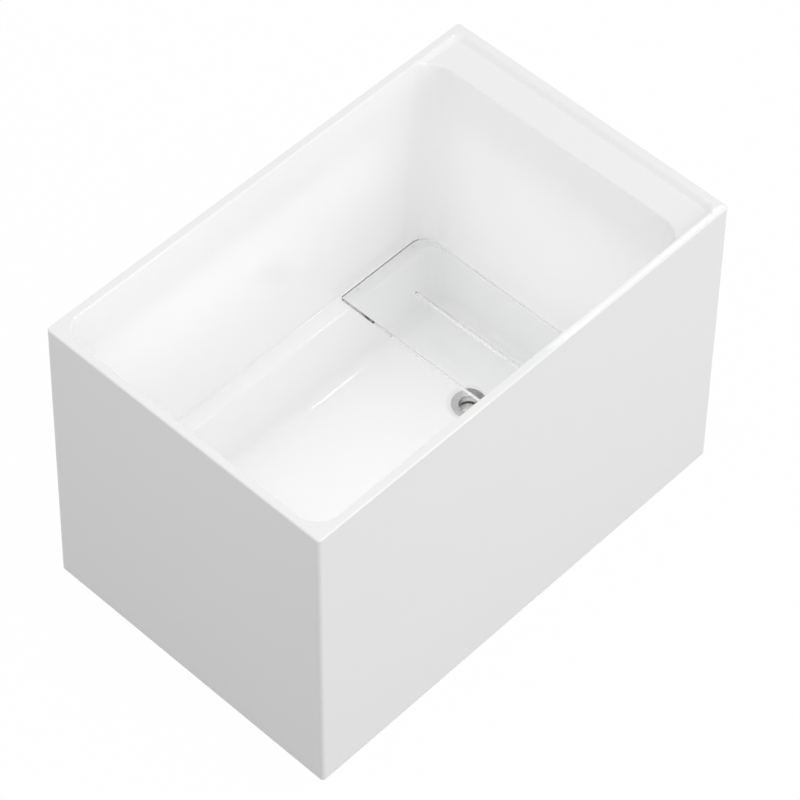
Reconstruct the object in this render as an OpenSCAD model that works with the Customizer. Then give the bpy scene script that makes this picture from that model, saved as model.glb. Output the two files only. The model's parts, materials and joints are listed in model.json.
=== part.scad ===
// Deep soaking tub with a one-piece skirt, a tap deck at one end and a clear seat board.
// Origin: centre of the tub's footprint on the ground. +X runs to the deck end, +Z is up.
// All lengths are in millimetres.

/* [Tub] */
// Length over the rim
tub_length = 1100; // [1000:10:1300]
// Width over the rim
tub_width = 695; // [620:5:800]
// Height of the rim above the ground
tub_height = 738; // [680:1:800]
// Height of the inside floor above the ground
floor_height = 142; // [130:1:170]
// Radius of the four upright outer corners
corner_radius = 8; // [6:1:14]

/* [Skirt] */
// How far the foot of each long side stands out past the rim
side_flare = 14; // [0:1:20]
// How far the foot of each end stands out past the rim
end_flare = 5; // [0:1:12]
// Gap between the skirt's lower edge and the ground
skirt_gap = 2; // [1:0.5:8]
// Thickness of the acrylic sheet of skirt and basin
sheet = 4; // [3:0.5:5]
// Thickness of the glass-fibre layer behind the sheet
backing = 3; // [2:0.5:4]
// Width of the resin bead under the rim
bond_width = 4; // [2:0.5:5]
// Height of the resin bead under the rim
bond_height = 6; // [3:0.5:10]

/* [Rim and deck] */
// Width of the rim along both long sides and the plain end
rim_width = 18.5; // [17:0.5:30]
// Distance from the outer edge to the basin at the deck end
deck_width = 100; // [85:1:130]
// Width of the raised lip at the outer edge of the deck
deck_lip = 20; // [16:1:26]
// Depth of the deck below the rim
deck_drop = 10; // [6:1:14]
// Run of the slope between the lip and the deck
deck_slope = 6; // [2:1:8]
// How far the deck's hollow reaches into the basin's opening
deck_reach = 75; // [65:1:90]
// How much further in the deck's hollow lies than the basin's long walls
deck_step = 0.5; // [0.3:0.1:2]
// Plan radius of the deck's outer corners
deck_corner = 18; // [12:1:24]

/* [Basin] */
// Height of the seat ledges above the inside floor
ledge_height = 148; // [120:1:190]
// Width of the ledge along each long side
side_ledge = 38; // [30:1:50]
// Width of the ledge at each end
end_ledge = 13; // [8:1:20]
// Inward lean of each long wall between rim and ledge
side_lean = 40; // [20:1:60]
// Inward lean of each end wall between rim and ledge
end_lean = 51; // [30:1:70]
// Inward lean of the well's long faces below the ledge
well_side_lean = 28; // [5:1:40]
// Inward lean of the well's end faces below the ledge
well_end_lean = 4; // [1:1:20]
// Plan radius of the basin's corners at the rim
rim_corner = 50; // [40:1:60]
// Plan radius of the basin's corners at the ledge
ledge_corner = 42; // [34:1:50]
// Plan radius of the well's corners
well_corner = 30; // [28:1:36]
// Radius between the well's faces and the floor
floor_round = 25; // [15:1:26]

/* [Seat board] */
// Front to back size of the board
seat_depth = 240; // [200:5:300]
// Thickness of the board
seat_board_t = 10; // [8:1:15]
// Free space between the board and the walls beside and behind it
seat_clearance = 12; // [8:1:16]
// Radius of the board's two back corners
seat_back_corner = 36; // [25:1:45]
// Radius of the board's two front corners
seat_front_corner = 3; // [2:1:10]
// Thickness of the pads under the board
bumper_t = 1.5; // [1:0.5:3]
// Radius of the pads under the board
bumper_r = 5; // [4:0.5:7]
// Distance of the pads from the board's front and back edges
bumper_inset = 40; // [30:1:60]
// Width of the water slot in the board
slot_width = 5; // [4.5:0.5:8]
// Length of the water slot in the board
slot_length = 362; // [250:2:400]
// Distance from the board's front edge to the middle of the slot
slot_setback = 114; // [80:2:150]

/* [Drain] */
// Place of the drain along the tub
drain_x = 226; // [150:1:250]
// Place of the drain across the tub
drain_y = -6; // [-20:1:20]
// Radius of the shallow hollow that the flange lies in
hollow_r = 46; // [42:1:52]
// Depth of that hollow
hollow_depth = 4; // [3:0.5:5]
// Radius of the drain flange
flange_r = 36; // [34:0.5:38]
// Thickness of the drain flange
flange_t = 2.5; // [2:0.5:4]
// Radius of the drain's throat
throat_r = 20; // [19:0.5:21]
// Wall of the drain's threaded body
body_wall = 3.5; // [3:0.5:5]
// Thickness of the gasket above the floor
top_gasket_t = 1.5; // [1:0.5:2]
// Thickness of the gasket below the floor
bottom_gasket_t = 3; // [2:0.5:4]
// Thickness of the slip ring
slip_ring_t = 1.5; // [1:0.5:2.5]
// Radius of the slip ring and the gasket below the floor
gasket_r = 34; // [31:1:38]
// Height of the drain nut
nut_height = 15; // [10:1:18]
// Radius of the drain nut over its corners
nut_r = 37; // [33:1:40]

/* [Plug] */
// Depth of the plug's seat below the inside floor
plug_depth = 26; // [22:1:30]
// Lift of the plug when it is pushed open
plug_lift = 8; // [5:0.5:9]
// Gap between the plug's cap and the throat
plug_gap = 3; // [2:0.5:4]
// Height of the cap's rim
cap_height = 4; // [3:0.5:6]
// Rise of the cap's dome
cap_crown = 2; // [1:0.5:3]
// Thickness of the plug's seal
seal_t = 2; // [1.5:0.5:3]
// Radius of the plug's stem
stem_r = 3; // [2.5:0.25:3.5]
// Radius of the latch housing's bore
latch_bore_r = 6; // [5.5:0.25:7]
// Wall of the latch housing
latch_wall = 2; // [1.5:0.5:2.5]
// Height of the bridge that holds the latch housing
bridge_height = 12; // [8:1:14]
// Radius of the spring's wire
wire_r = 0.6; // [0.4:0.1:0.7]

/* [Tail pipe] */
// Outer radius of the pipe
tail_r = 20; // [19:0.5:20]
// Wall of the pipe
tail_wall = 1.6; // [1.2:0.2:2.4]
// How much slimmer the pipe is inside the union nut
tail_neck = 0.4; // [0.2:0.1:0.6]
// Height of the pipe's lower end above the ground
tail_end = 30; // [15:1:40]
// Height of the union nut
union_height = 20; // [18:1:24]
// Wall of the union nut
union_wall = 5; // [4:0.5:7]

/* [Frame] */
// Size of the square frame tubes
rail_size = 25; // [20:1:30]
// Wall of the frame tubes
rail_wall = 2; // [1.5:0.5:3]
// Distance of each long rail from the middle of the tub
rail_offset = 150; // [120:5:170]
// Distance from the plain end's outline to the first cross rail
first_cross = 150; // [140:5:180]
// Distance from the deck end's outline to the last cross rail
last_cross = 200; // [190:5:230]
// Distance from the rim's outline to the tips of all rails
rail_tip = 40; // [35:5:60]
// Thickness of the board under the floor
floor_board_t = 12; // [9:1:15]
// Distance from the flat of the floor to the floor board's ends
floor_board_inset = 20; // [5:5:60]
// Thickness of the board under the deck
deck_board_t = 12; // [9:1:18]
// Distance from the skirt to the ends of the deck board
deck_board_inset = 20; // [15:5:60]

/* [Brackets] */
// Thickness of the brackets
bracket_t = 3; // [2:0.5:4]
// Width of the brackets
bracket_width = 24; // [18:1:30]
// Height of the brackets' upright leg
bracket_height = 40; // [30:5:60]
// Length of the brackets' foot along the rail
bracket_grip = 20; // [16:1:24]
// Radius of the screws
screw_r = 2.5; // [2:0.25:3]
// How far the floor screws bite into the board
screw_bite = 8; // [5:1:8]

/* [Feet] */
// Distance from the rim's outline to the feet across the tub
foot_inset = 80; // [75:5:100]
// Radius of the threaded studs
stud_r = 6; // [5:0.5:8]
// How far the studs stand out above the rails
stud_spare = 14; // [8:1:20]
// Outer radius of the threaded bushes
bush_r = 10; // [9.5:0.5:11]
// Radius of the pads
pad_r = 24; // [18:1:30]
// Height of the pads
pad_height = 14; // [10:1:18]
// Height of the lock nuts and of the studs' hexagons
foot_nut_height = 8; // [6:1:10]
// Radius of the lock nuts and of the hexagons over their corners
foot_nut_r = 11; // [10:0.5:13]

/* [Hidden] */

// Clearance of a thread or a sliding fit, on the radius
fit = 0.05;
// Clearance of a hole round a screw or a pipe, on the radius
loose_fit = 0.2;
// Gap that glue fills between a bracket and the skirt
glue_gap = 0.1;
// How far a cutting shape runs past the face that it cuts
over = 1;
// Thickness of the slices that a tapered body is stretched over
slice = 0.1;
// Segments of the round corners of tapered bodies
corner_fn = 32;
// Segments of true round parts
round_fn = 64;
// Corners of a hexagon and of the union nut
hexagon = 6;
octagon = 8;
// The two sides, the two ends and the steps of the rounded foot of the well
both = [-1, 1];
foot_steps = [0 : 15 : 90];

half_length = tub_length / 2;
half_width = tub_width / 2;
skin = sheet + backing;
deck_z = tub_height - deck_drop;
rim_under = tub_height - sheet;
deck_under = deck_z - sheet;
ledge_z = floor_height + ledge_height;
side_slope = side_lean / (tub_height - ledge_z);
end_slope = end_lean / (tub_height - ledge_z);

// Half the skirt's length and width at a height
function skirt_x(z) = half_length + end_flare * (1 - z / tub_height);
function skirt_y(z) = half_width + side_flare * (1 - z / tub_height);

// Inner faces of the basin above the ledge at a height
function wall_x0(z) = rim_width - half_length + end_slope * (tub_height - z);
function wall_x1(z) = half_length - deck_width - end_slope * (deck_z - z);
function wall_y(z) = half_width - rim_width - side_slope * (tub_height - z);

// Inner faces of the well below the ledge at a height
function well_drop(z) = (ledge_z - z) / ledge_height;
function well_x0(z) = wall_x0(ledge_z) + end_ledge + well_end_lean * well_drop(z);
function well_x1(z) = wall_x1(ledge_z) - end_ledge - well_end_lean * well_drop(z);
function well_y(z) = wall_y(ledge_z) - side_ledge - well_side_lean * well_drop(z);

// Levels under the floor, from the top down
shell_under = floor_height - sheet;
board_top = shell_under - backing;
long_top = board_top - floor_board_t;
cross_top = long_top - rail_size;
cross_under = cross_top - rail_size;

// Rails, brackets and feet
first_x = first_cross - half_length;
last_x = half_length - last_cross;
cross_places = [first_x, (first_x + last_x) / 2, last_x];
rail_end_x = half_length - rail_tip;
rail_end_y = half_width - rail_tip;
foot_y = half_width - foot_inset;
foot_places = [for (x = [first_x, last_x]) for (side = both) [x, side * foot_y]];
bracket_screw_x = rail_end_x - bracket_grip / 2;
bracket_screw_y = rail_end_y - bracket_grip / 2;
screw_head_r = 1.8 * screw_r;
screw_head_h = 1.2 * screw_r;
bracket_screw_reach = bracket_t + rail_wall + 4;
bay_shares = [1 / 4, 3 / 4];
floor_screw_places = [
    for (bay = [0, 1])
        for (share = bay_shares)
            for (side = both)
                [cross_places[bay] + share * (cross_places[bay + 1] - cross_places[bay]),
                    side * rail_offset]
];
pad_foot = 5;
pad_neck_r = stud_r + 6;
pad_socket = 8;

// Seat board
seat_z = ledge_z + bumper_t;
seat_top = seat_z + seat_board_t;
seat_back_x = wall_x1(seat_top) - seat_clearance;
seat_front_x = seat_back_x - seat_depth;
seat_half_width = wall_y(seat_top) - seat_clearance;
slot_x = seat_front_x + slot_setback;
bumper_y = wall_y(ledge_z) - side_ledge * 0.55;

// Drain stack, from the top down
hollow_z = floor_height - hollow_depth;
flange_under = hollow_z + top_gasket_t;
flange_top = flange_under + flange_t;
flange_land = 3;
throat_lip = 3;
body_r = throat_r + body_wall;
floor_hole_r = body_r + 1;
boss_r = hollow_r + sheet;
boss_under = hollow_z - sheet;
gasket_top = boss_under - backing;
slip_top = gasket_top - bottom_gasket_t;
nut_top = slip_top - slip_ring_t;
board_hole_r = boss_r + backing + 4;

// Plug, from the top down
plug_seat_z = floor_height - plug_depth;
seat_ring_t = 3;
seat_ring_width = 6;
cap_r = throat_r - plug_gap;
cap_under = plug_seat_z + seal_t;
cap_boss_r = throat_r - seat_ring_width - 1;
stem_grip = 3;
latch_cap_t = 2;
latch_gap = 2;
latch_flange_r = latch_bore_r + latch_wall + 2.5;
latch_cap_top = plug_seat_z - seat_ring_t - latch_gap;
latch_flange_top = latch_cap_top - latch_cap_t;
latch_flange_t = 2;
bridge_top = latch_flange_top - latch_flange_t;
bridge_hub_r = latch_bore_r + latch_wall + 3;
bridge_web_t = 3;
bridge_web_step = 120;
collar_r = latch_bore_r - 0.1;
collar_h = 4;
collar_top = latch_flange_top - plug_lift;
spring_length = 12;
spring_top = collar_top - collar_h;
spring_base = spring_top - spring_length;
spring_r = latch_bore_r - wire_r - 0.4;
spring_turns = 5;
spring_play = 0.1;
stem_tail = 4;
latch_floor = 2;
latch_end = spring_base - latch_floor;

// Tail pipe, from the top down
body_end = latch_end - 4;
washer_t = 1.5;
tail_top = body_end - washer_t;
tail_flange_t = 3;
tail_flange_r = body_r - 0.5;
tail_flange_under = tail_top - tail_flange_t;
union_grip = 9;
union_top = body_end + union_grip;
union_end = union_top - union_height;
tail_shoulder = union_end - 2;

// Colours
acrylic = [0.95, 0.95, 0.95];
resin = [0.78, 0.74, 0.62];
timber = [0.76, 0.62, 0.42];
steel = [0.62, 0.64, 0.66];
rubber = [0.12, 0.12, 0.13];
metal = [0.74, 0.75, 0.76];
plastic = [0.85, 0.86, 0.86];
clear = [0.85, 0.93, 0.95, 0.35];

// Four upright discs at the corners of a rounded rectangle
module corner_slices(x0, x1, y, r, z) {
    for (x = [x0 + r, x1 - r]) {
        for (side = both) {
            translate([x, side * (y - r), z]) cylinder(r = r, h = slice, $fn = corner_fn);
        }
    }
}

// Flat rectangle with round corners
module round_plate(x0, x1, y, r) {
    translate([x0 + r, -y]) square([x1 - x0 - 2 * r, 2 * y]);
    translate([x0, r - y]) square([x1 - x0, 2 * (y - r)]);
    for (x = [x0 + r, x1 - r]) {
        for (side = both) {
            translate([x, side * (y - r)]) circle(r = r, $fn = round_fn);
        }
    }
}

// Upright ring round the drain's axis
module drain_ring(outer, inner, z, h, sides = round_fn) {
    translate([drain_x, drain_y, z]) difference() {
        cylinder(r = outer, h = h, $fn = sides);
        translate([0, 0, -over]) cylinder(r = inner, h = h + 2 * over, $fn = round_fn);
    }
}

// Upright cylinder on the drain's axis
module drain_disc(r, z, h) {
    translate([drain_x, drain_y, z]) cylinder(r = r, h = h, $fn = round_fn);
}

// Tapered block from the ground to the rim that follows the skirt, set in from its outer face
module skirt_block(inset) {
    r = max(corner_radius - inset, 1);
    hull() {
        for (z = [0, tub_height]) {
            corner_slices(inset - skirt_x(z), skirt_x(z) - inset, skirt_y(z) - inset, r, z);
        }
    }
}

// Ring of sheet that follows the skirt between two insets and two heights
module skirt_ring(outer, inner, z0, z1) {
    x = skirt_x(0) + over;
    y = skirt_y(0) + over;
    intersection() {
        difference() {
            skirt_block(outer);
            skirt_block(inner);
        }
        translate([-x, -y, z0]) cube([2 * x, 2 * y, z1 - z0]);
    }
}

// Upper part of the basin, grown outwards by a thickness
module upper_basin(grow, top) {
    hull() {
        corner_slices(wall_x0(top) - grow, wall_x1(top) + grow, wall_y(top) + grow,
            rim_corner + grow, top - slice);
        corner_slices(wall_x0(ledge_z) - grow, wall_x1(ledge_z) + grow, wall_y(ledge_z) + grow,
            ledge_corner + grow, ledge_z - grow);
    }
}

// Well below the ledge with its rounded foot, grown outwards by a thickness
module well(grow, top) {
    foot = floor_height + floor_round;
    hull() {
        corner_slices(well_x0(ledge_z) - grow, well_x1(ledge_z) + grow, well_y(ledge_z) + grow,
            well_corner + grow, top);
        for (a = foot_steps) {
            inset = floor_round - (floor_round + grow) * cos(a);
            corner_slices(well_x0(foot) + inset, well_x1(foot) - inset, well_y(foot) - inset,
                well_corner - inset, foot - (floor_round + grow) * sin(a));
        }
    }
}

// Hollow of the tap deck, with sloping sides
module deck_hollow() {
    x0 = half_length - deck_width - deck_reach;
    x1 = half_length - deck_lip;
    y = half_width - rim_width - deck_step;
    top = tub_height + over;
    run = deck_slope * (top - deck_z) / deck_drop;
    inner = deck_slope;
    outer = deck_slope - run;
    hull() {
        corner_slices(x0 + inner, x1 - inner, y - inner, deck_corner - inner, deck_z);
        corner_slices(x0 + outer, x1 - outer, y - outer, deck_corner - outer, top);
    }
}

// Inner acrylic shell with rim, deck, ledges, well and drain hole
module basin_shell() {
    deck_x = half_length - deck_width - deck_reach;
    deck_y = half_width - rim_width + sheet;
    color(acrylic) difference() {
        union() {
            translate([0, 0, rim_under]) linear_extrude(sheet)
                round_plate(-half_length, half_length, half_width, corner_radius);
            upper_basin(sheet, tub_height - sheet / 2);
            well(sheet, ledge_z - sheet);
            translate([deck_x, -deck_y, deck_under])
                cube([half_length - deck_lip + sheet - deck_x, 2 * deck_y, deck_drop + sheet / 2]);
            drain_disc(boss_r, boss_under, hollow_depth + sheet / 2);
        }
        upper_basin(0, tub_height + over);
        well(0, ledge_z + slice);
        deck_hollow();
        drain_disc(hollow_r, hollow_z, hollow_depth + over);
        drain_disc(floor_hole_r, boss_under - over, sheet + 2 * over);
    }
}

// Glass-fibre layer on the outside of the basin
module basin_backing() {
    color(resin) difference() {
        union() {
            upper_basin(skin, deck_under);
            well(skin, ledge_z - skin);
            drain_disc(boss_r + backing, gasket_top, hollow_depth + backing / 2);
        }
        upper_basin(sheet, tub_height - sheet / 2);
        well(sheet, ledge_z - sheet);
        drain_disc(boss_r, boss_under, floor_height - boss_under);
        drain_disc(floor_hole_r, gasket_top - over, backing + 2 * over);
    }
}

// One-piece acrylic skirt round all four sides
module outer_skirt() {
    color(acrylic) skirt_ring(0, sheet, skirt_gap, rim_under);
}

// Glass-fibre layer behind the skirt
module skirt_backing() {
    color(resin) skirt_ring(sheet, skin, skirt_gap + bond_width, rim_under - bond_height);
}

// Bead of resin that joins the rim to the skirt from below
module rim_bond() {
    color(resin) skirt_ring(sheet, sheet + bond_width, rim_under - bond_height, rim_under);
}

// Stiffening board under the tap deck
module deck_board() {
    x0 = wall_x1(deck_under) + skin + glue_gap;
    x1 = half_length - deck_board_inset;
    y = half_width - skin - deck_board_inset;
    color(timber) translate([x0, -y, deck_under - deck_board_t])
        cube([x1 - x0, 2 * y, deck_board_t]);
}

// Stiffening board under the floor, open round the drain
module floor_board() {
    x0 = well_x0(floor_height) + floor_round + floor_board_inset;
    x1 = well_x1(floor_height) - floor_round - floor_board_inset;
    y = well_y(floor_height) - floor_round;
    color(timber) difference() {
        translate([x0, -y, long_top]) cube([x1 - x0, 2 * y, floor_board_t]);
        drain_disc(board_hole_r, long_top - over, floor_board_t + 2 * over);
        for (p = floor_screw_places) {
            translate([p[0], p[1], long_top - over])
                cylinder(r = screw_r + fit, h = screw_bite + over, $fn = round_fn);
        }
    }
}

// Square tube along X from x0 to x1
module tube_x(x0, x1, y, z) {
    bore = rail_size - 2 * rail_wall;
    translate([x0, y - rail_size / 2, z]) difference() {
        cube([x1 - x0, rail_size, rail_size]);
        translate([-over, rail_wall, rail_wall]) cube([x1 - x0 + 2 * over, bore, bore]);
    }
}

// Two tubes that carry the floor board
module frame_long_rails() {
    color(steel) difference() {
        for (side = both) {
            tube_x(-rail_end_x, rail_end_x, side * rail_offset, cross_top);
        }
        for (p = floor_screw_places) {
            translate([p[0], p[1], cross_top - over])
                cylinder(r = screw_r + loose_fit, h = rail_size + 2 * over, $fn = round_fn);
        }
        for (end = both) {
            for (side = both) {
                translate([end * bracket_screw_x, side * rail_offset, long_top - rail_wall - over])
                    cylinder(r = screw_r + fit, h = rail_wall + 2 * over, $fn = round_fn);
            }
        }
    }
}

// Three tubes under the long rails that carry the feet
module frame_cross_rails() {
    color(steel) difference() {
        for (x = cross_places) {
            rotate([0, 0, 90]) tube_x(-rail_end_y, rail_end_y, -x, cross_under);
        }
        for (p = foot_places) {
            translate([p[0], p[1], cross_under - over])
                cylinder(r = bush_r, h = rail_size + 2 * over, $fn = round_fn);
        }
        for (x = cross_places) {
            for (side = both) {
                translate([x, side * bracket_screw_y, cross_top - rail_wall - over])
                    cylinder(r = screw_r + fit, h = rail_wall + 2 * over, $fn = round_fn);
            }
        }
    }
}

// Angle from a rail's tip to the leaning skirt; face0 and face1 are the skirt's places
// at the foot and at the top of the angle, measured along +X
module bracket(rail_end, face0, face1) {
    screw_x = rail_end - bracket_grip / 2;
    difference() {
        rotate([90, 0, 0]) translate([0, 0, -bracket_width / 2]) linear_extrude(bracket_width)
            polygon([
                [rail_end - bracket_grip, 0],
                [face0, 0],
                [face1, bracket_height],
                [face1 - bracket_t, bracket_height],
                [face0 - bracket_t, bracket_t],
                [rail_end - bracket_grip, bracket_t]
            ]);
        translate([screw_x, 0, -over])
            cylinder(r = screw_r + loose_fit, h = bracket_t + 2 * over, $fn = round_fn);
    }
}

// Brackets from the cross rails to the long sides of the skirt
module side_brackets() {
    face0 = skirt_y(cross_top) - skin - glue_gap;
    face1 = skirt_y(cross_top + bracket_height) - skin - glue_gap;
    color(steel) for (x = cross_places) {
        for (side = both) {
            translate([x, 0, cross_top]) rotate([0, 0, side * 90])
                bracket(rail_end_y, face0, face1);
        }
    }
}

// Brackets from the long rails to the ends of the skirt
module end_brackets() {
    face0 = skirt_x(long_top) - skin - glue_gap;
    face1 = skirt_x(long_top + bracket_height) - skin - glue_gap;
    color(steel) for (side = both) {
        translate([0, side * rail_offset, long_top]) bracket(rail_end_x, face0, face1);
        translate([0, side * rail_offset, long_top]) rotate([0, 0, 180])
            bracket(rail_end_x, face0, face1);
    }
}

// Screw with a flat round head on top, its shank pointing down from z = 0
module screw(reach) {
    translate([0, 0, -reach]) cylinder(r = screw_r, h = reach + slice, $fn = round_fn);
    cylinder(r = screw_head_r, h = screw_head_h, $fn = round_fn);
}

// Screws that hold all brackets to the rails
module bracket_screws() {
    color(metal) {
        for (x = cross_places) {
            for (side = both) {
                translate([x, side * bracket_screw_y, cross_top + bracket_t])
                    screw(bracket_screw_reach);
            }
        }
        for (end = both) {
            for (side = both) {
                translate([end * bracket_screw_x, side * rail_offset, long_top + bracket_t])
                    screw(bracket_screw_reach);
            }
        }
    }
}

// Screws through the long rails into the floor board
module floor_screws() {
    color(metal) for (p = floor_screw_places) {
        translate([p[0], p[1], cross_top]) rotate([180, 0, 0]) screw(rail_size + screw_bite);
    }
}

// Threaded bushes in the cross rails
module foot_bushes() {
    color(steel) for (p = foot_places) {
        translate([p[0], p[1], cross_under]) difference() {
            cylinder(r = bush_r, h = rail_size, $fn = round_fn);
            translate([0, 0, -over])
                cylinder(r = stud_r + fit, h = rail_size + 2 * over, $fn = round_fn);
        }
    }
}

// Nuts that lock the studs against the bushes
module foot_lock_nuts() {
    color(metal) for (p = foot_places) {
        translate([p[0], p[1], cross_under - foot_nut_height]) difference() {
            cylinder(r = foot_nut_r, h = foot_nut_height, $fn = hexagon);
            translate([0, 0, -over])
                cylinder(r = stud_r + fit, h = foot_nut_height + 2 * over, $fn = round_fn);
        }
    }
}

// Threaded stud with a hexagon that stops under the lock nut
module foot_stud(place) {
    base = pad_height - pad_socket;
    top = cross_top + stud_spare;
    color(metal) translate([place[0], place[1], 0]) {
        translate([0, 0, base]) cylinder(r = stud_r, h = top - base, $fn = round_fn);
        translate([0, 0, cross_under - 2 * foot_nut_height])
            cylinder(r = foot_nut_r - 1, h = foot_nut_height, $fn = hexagon);
    }
}

// Pad that a stud stands in
module foot_pad(place) {
    color(rubber) translate([place[0], place[1], 0]) difference() {
        union() {
            cylinder(r = pad_r, h = pad_foot, $fn = round_fn);
            cylinder(r = pad_neck_r, h = pad_height, $fn = round_fn);
        }
        translate([0, 0, pad_height - pad_socket])
            cylinder(r = stud_r + fit, h = pad_socket + over, $fn = round_fn);
    }
}

module foot_stud_1() foot_stud(foot_places[0]);
module foot_stud_2() foot_stud(foot_places[1]);
module foot_stud_3() foot_stud(foot_places[2]);
module foot_stud_4() foot_stud(foot_places[3]);
module foot_pad_1() foot_pad(foot_places[0]);
module foot_pad_2() foot_pad(foot_places[1]);
module foot_pad_3() foot_pad(foot_places[2]);
module foot_pad_4() foot_pad(foot_places[3]);

// Drain flange, threaded body, plug seat and bridge in one piece
module drain_body() {
    dish_r = body_r + 0.5;
    color(metal) translate([drain_x, drain_y, 0]) {
        rotate_extrude($fn = round_fn) polygon([
            [throat_r, body_end],
            [body_r, body_end],
            [body_r, flange_under],
            [flange_r, flange_under],
            [flange_r, flange_top - 1],
            [flange_r - 1, flange_top],
            [flange_r - flange_land, flange_top],
            [dish_r, flange_top - flange_t / 2],
            [throat_r, flange_top - flange_t / 2 - throat_lip],
            [throat_r, plug_seat_z],
            [throat_r - seat_ring_width, plug_seat_z],
            [throat_r - seat_ring_width, plug_seat_z - seat_ring_t],
            [throat_r, plug_seat_z - seat_ring_t]
        ]);
        difference() {
            union() {
                translate([0, 0, bridge_top - bridge_height])
                    cylinder(r = bridge_hub_r, h = bridge_height, $fn = round_fn);
                for (a = [0 : bridge_web_step : 360 - bridge_web_step]) {
                    rotate([0, 0, a])
                        translate([0, -bridge_web_t / 2, bridge_top - bridge_height])
                        cube([throat_r + body_wall / 2, bridge_web_t, bridge_height]);
                }
            }
            translate([0, 0, bridge_top - bridge_height - over])
                cylinder(r = latch_bore_r + latch_wall + fit, h = bridge_height + 2 * over,
                    $fn = round_fn);
        }
    }
}

// Gasket between the flange and the floor
module drain_top_gasket() {
    color(rubber) drain_ring(flange_r - 1, body_r + fit, hollow_z, top_gasket_t);
}

// Gasket under the floor
module drain_bottom_gasket() {
    color(rubber) drain_ring(gasket_r, body_r + fit, slip_top, bottom_gasket_t);
}

// Thin ring that lets the nut turn without dragging the gasket
module drain_slip_ring() {
    color(plastic) drain_ring(gasket_r, body_r + fit, nut_top, slip_ring_t);
}

// Nut that clamps the floor between the gaskets
module drain_nut() {
    color(metal) drain_ring(nut_r, body_r + fit, nut_top - nut_height, nut_height, hexagon);
}

// Pipe that leads the water down
module tail_pipe() {
    color(plastic) translate([drain_x, drain_y, 0]) difference() {
        union() {
            translate([0, 0, tail_end])
                cylinder(r = tail_r, h = tail_shoulder - tail_end, $fn = round_fn);
            translate([0, 0, tail_end])
                cylinder(r = tail_r - tail_neck, h = tail_top - tail_end, $fn = round_fn);
            translate([0, 0, tail_flange_under])
                cylinder(r = tail_flange_r, h = tail_flange_t, $fn = round_fn);
        }
        translate([0, 0, tail_end - over])
            cylinder(r = tail_r - tail_wall, h = tail_top - tail_end + 2 * over, $fn = round_fn);
    }
}

// Washer between the drain's body and the pipe
module tail_washer() {
    color(rubber) drain_ring(tail_flange_r, throat_r, tail_top, washer_t);
}

// Nut that pulls the pipe up against the drain's body
module tail_union_nut() {
    color(plastic) translate([drain_x, drain_y, 0]) difference() {
        translate([0, 0, union_end])
            cylinder(r = body_r + union_wall, h = union_height, $fn = octagon);
        translate([0, 0, tail_flange_under])
            cylinder(r = body_r + fit, h = union_top - tail_flange_under + over, $fn = round_fn);
        translate([0, 0, union_end - over])
            cylinder(r = tail_r + fit, h = union_height, $fn = round_fn);
    }
}

// Domed cap of the plug, with the boss that the seal sits on
module plug_cap() {
    dome_r = (cap_r * cap_r + cap_crown * cap_crown) / (2 * cap_crown);
    top = cap_under + cap_height + cap_crown;
    color(metal) translate([drain_x, drain_y, 0]) difference() {
        union() {
            intersection() {
                translate([0, 0, cap_under])
                    cylinder(r = cap_r, h = cap_height + cap_crown, $fn = round_fn);
                translate([0, 0, top - dome_r]) sphere(r = dome_r, $fn = 4 * round_fn);
            }
            translate([0, 0, plug_seat_z])
                cylinder(r = cap_boss_r, h = seal_t + slice, $fn = round_fn);
        }
        translate([0, 0, plug_seat_z - over])
            cylinder(r = stem_r + fit, h = seal_t + stem_grip + over, $fn = round_fn);
    }
}

// Seal that closes on the drain's seat
module plug_seal() {
    color(rubber) drain_ring(cap_r + 0.5, cap_boss_r + fit, plug_seat_z, seal_t);
}

// Stem with the collar that the latch catches
module plug_stem() {
    color(metal) {
        drain_disc(stem_r, spring_top - stem_tail, cap_under + stem_grip - spring_top + stem_tail);
        drain_disc(collar_r, spring_top, collar_h);
    }
}

// Point of the spring's skin: a along the turns, b round the wire
function spring_point(a, b, rise) = [
    (spring_r + wire_r * cos(b)) * cos(a),
    (spring_r + wire_r * cos(b)) * sin(a),
    rise + wire_r * sin(b)
];

// Spring that lifts the plug
module plug_spring() {
    ring_steps = 18;
    sides = 8;
    rings = spring_turns * ring_steps;
    base = spring_base + wire_r + spring_play;
    rise = spring_length - 2 * (wire_r + spring_play);
    points = [
        for (i = [0 : rings])
            for (j = [0 : sides - 1])
                spring_point(360 * i / ring_steps, -360 * j / sides, base + rise * i / rings)
    ];
    skin_faces = [
        for (i = [0 : rings - 1])
            for (j = [0 : sides - 1])
                for (half = [0, 1])
                    let (a = i * sides + j, b = i * sides + (j + 1) % sides)
                        half == 0 ? [a, b, b + sides] : [a, b + sides, a + sides]
    ];
    first_end = [for (j = [sides - 1 : -1 : 0]) j];
    last_end = [for (j = [0 : sides - 1]) rings * sides + j];
    color(steel) translate([drain_x, drain_y, 0])
        polyhedron(points = points, faces = concat(skin_faces, [first_end], [last_end]));
}

// Housing of the latch, hung in the bridge of the drain's body
module plug_cartridge() {
    color(plastic) translate([drain_x, drain_y, 0]) difference() {
        union() {
            translate([0, 0, latch_end])
                cylinder(r = latch_bore_r + latch_wall, h = latch_flange_top - latch_end,
                    $fn = round_fn);
            translate([0, 0, bridge_top])
                cylinder(r = latch_flange_r, h = latch_flange_t, $fn = round_fn);
        }
        translate([0, 0, spring_base])
            cylinder(r = latch_bore_r, h = latch_flange_top - spring_base + over, $fn = round_fn);
    }
}

// Cap of the latch housing, the upper stop of the stem's collar
module cartridge_cap() {
    color(plastic) drain_ring(latch_flange_r, stem_r + fit, latch_flange_top, latch_cap_t);
}

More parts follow.
